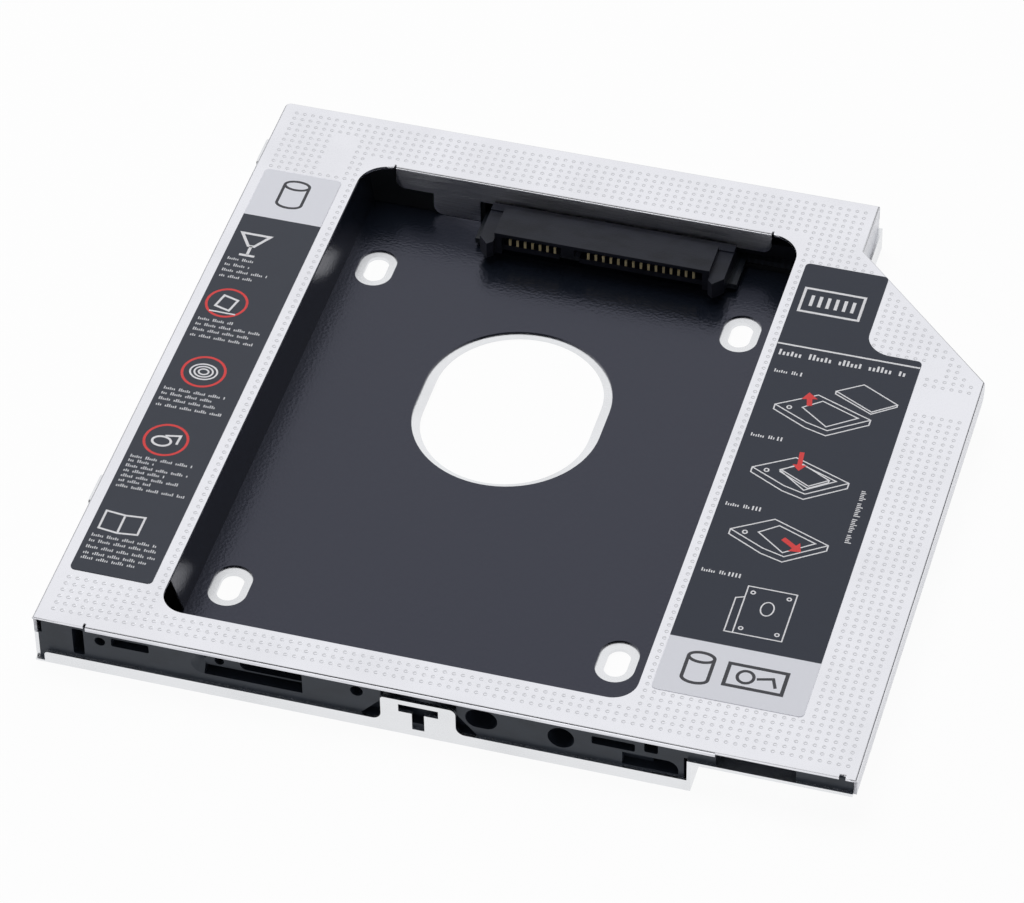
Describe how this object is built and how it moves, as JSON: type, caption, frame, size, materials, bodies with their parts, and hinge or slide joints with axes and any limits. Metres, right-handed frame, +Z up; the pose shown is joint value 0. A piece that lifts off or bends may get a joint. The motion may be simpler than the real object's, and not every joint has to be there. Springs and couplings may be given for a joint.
{
  "type": "drive bay caddy",
  "caption": "Slim folded metal caddy that holds a 2.5 inch drive in a 9.5 mm optical drive bay, with a window over the drive and a cut rear corner.",
  "frame": {"origin": "middle of the outer box, on the underside that the caddy lies on", "axes": "+X runs across the bay towards the cut corner, +Y runs from the front face to the rear wall, +Z up through the window"},
  "size_m": [0.128, 0.1262, 0.0095],
  "materials": {
    "cover_metal": "satin sheet with a fine brushed grain and a field of small dimples",
    "tray_metal": "plain rolled sheet",
    "film": "thin black film with a fine leather grain",
    "black_plastic": "fine textured moulding",
    "inner_plastic": "plain moulding",
    "board_mask": "black solder mask",
    "socket_plastic": "glass filled moulding",
    "contact_gold": "gold flash",
    "peg_metal": "tinned",
    "capacitor_body": "ceramic",
    "screw_steel": "zinc plated",
    "label_print": "printed label, dark and pale grey fields"
  },
  "bodies": {
    "root": {"top_cover": "cover_metal", "bottom_shell": "tray_metal", "insulating_film": "film", "left_rail": "inner_plastic", "right_rail": "inner_plastic", "front_moulding": "black_plastic", "rear_moulding": "inner_plastic", "circuit_board": "board_mask", "drive_connector_housing": "socket_plastic", "drive_signal_contacts": "contact_gold", "drive_power_contacts": "contact_gold", "connector_pegs": "peg_metal", "host_connector_housing": "socket_plastic", "host_signal_contacts": "contact_gold", "host_power_contacts": "contact_gold", "board_capacitors": "capacitor_body", "board_screws": "screw_steel", "frame_screws": "screw_steel", "left_label": "label_print", "right_label": "label_print"}
  },
  "joints": []
}
